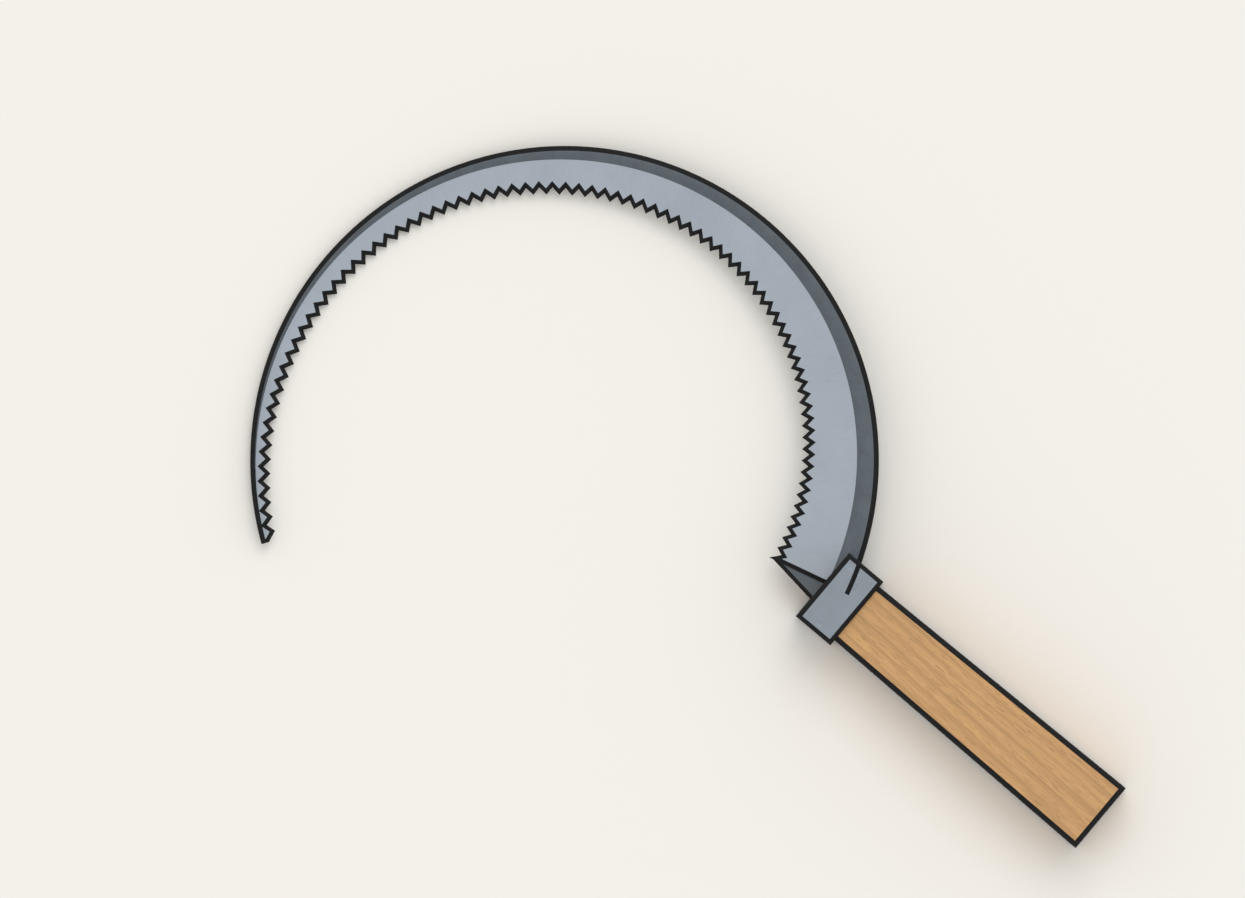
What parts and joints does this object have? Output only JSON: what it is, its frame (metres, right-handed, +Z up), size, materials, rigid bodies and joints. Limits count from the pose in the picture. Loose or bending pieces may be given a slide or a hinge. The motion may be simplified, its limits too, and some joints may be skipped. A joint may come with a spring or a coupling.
{
  "type": "serrated sickle",
  "caption": "Serrated crescent sickle with a dark stiffening rib along its back, a neck and tang held by a rectangular collar, and a flat-sided wooden handle.",
  "frame": {"origin": "middle of the collar's flat underside, which lies on the bench", "axes": "+X along the handle from the blade to the butt, +Y across it towards the back of the blade, +Z up from the bench, out of the blade's bevelled face"},
  "size_m": [0.4014, 0.2411, 0.0314],
  "materials": {
    "ground_steel": "ground, with fine scratches across the blade and blackened tooth bevels",
    "dark_iron": "forged, dark blue-grey scale with blackened edges",
    "collar_steel": "satin, with blackened edges",
    "handle_wood": "smooth, oiled, with dark scorched edges",
    "split_wood": "split and bare"
  },
  "bodies": {
    "root": {"blade": "ground_steel", "back_rib": "dark_iron", "tang": "dark_iron", "blade_rivets": "dark_iron", "collar": "collar_steel", "collar_pins": "collar_steel", "handle": "handle_wood", "tang_washer": "collar_steel", "neck_wedge": "split_wood"}
  },
  "joints": []
}
